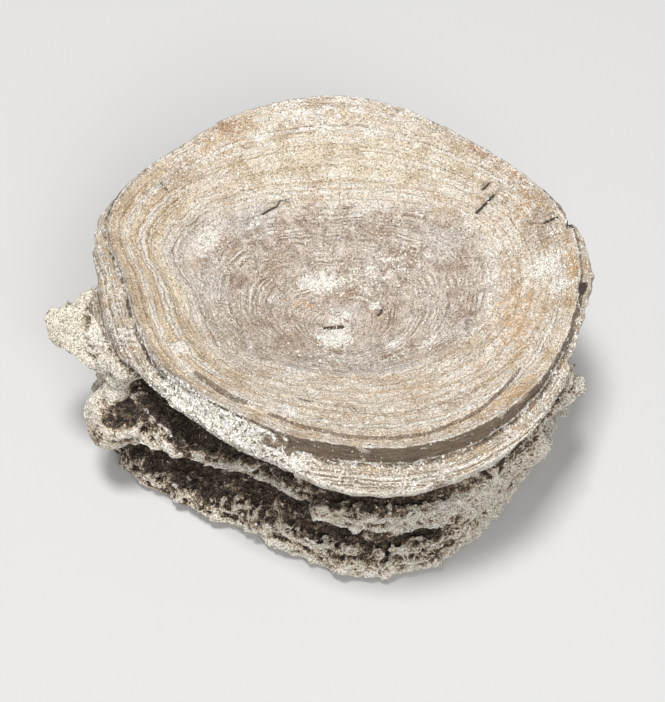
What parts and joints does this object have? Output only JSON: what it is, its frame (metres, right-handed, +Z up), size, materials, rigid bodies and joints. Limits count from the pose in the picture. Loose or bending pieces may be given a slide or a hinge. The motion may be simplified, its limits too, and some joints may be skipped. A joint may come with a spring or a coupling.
{
  "type": "fossil fish vertebra",
  "caption": "Fossilised fish centrum: a squat drum of bone with a ringed, cupped face at each end, stepped rims, a pitted side and broken process stubs.",
  "frame": {"origin": "middle of the footprint, on the plane that the lower articular face rests on", "axes": "+Z up through both cups, +X towards the porous slab and its knob, -X towards the longest process stub, -Y towards the widest ledge of the upper rim"},
  "size_m": [0.0598, 0.0526, 0.0215],
  "materials": {
    "bone": "matte fossil bone, cream and grey-brown growth rings, white chalk in its cracks and on its rim"
  },
  "bodies": {
    "root": {"vertebra": "bone"}
  },
  "joints": []
}
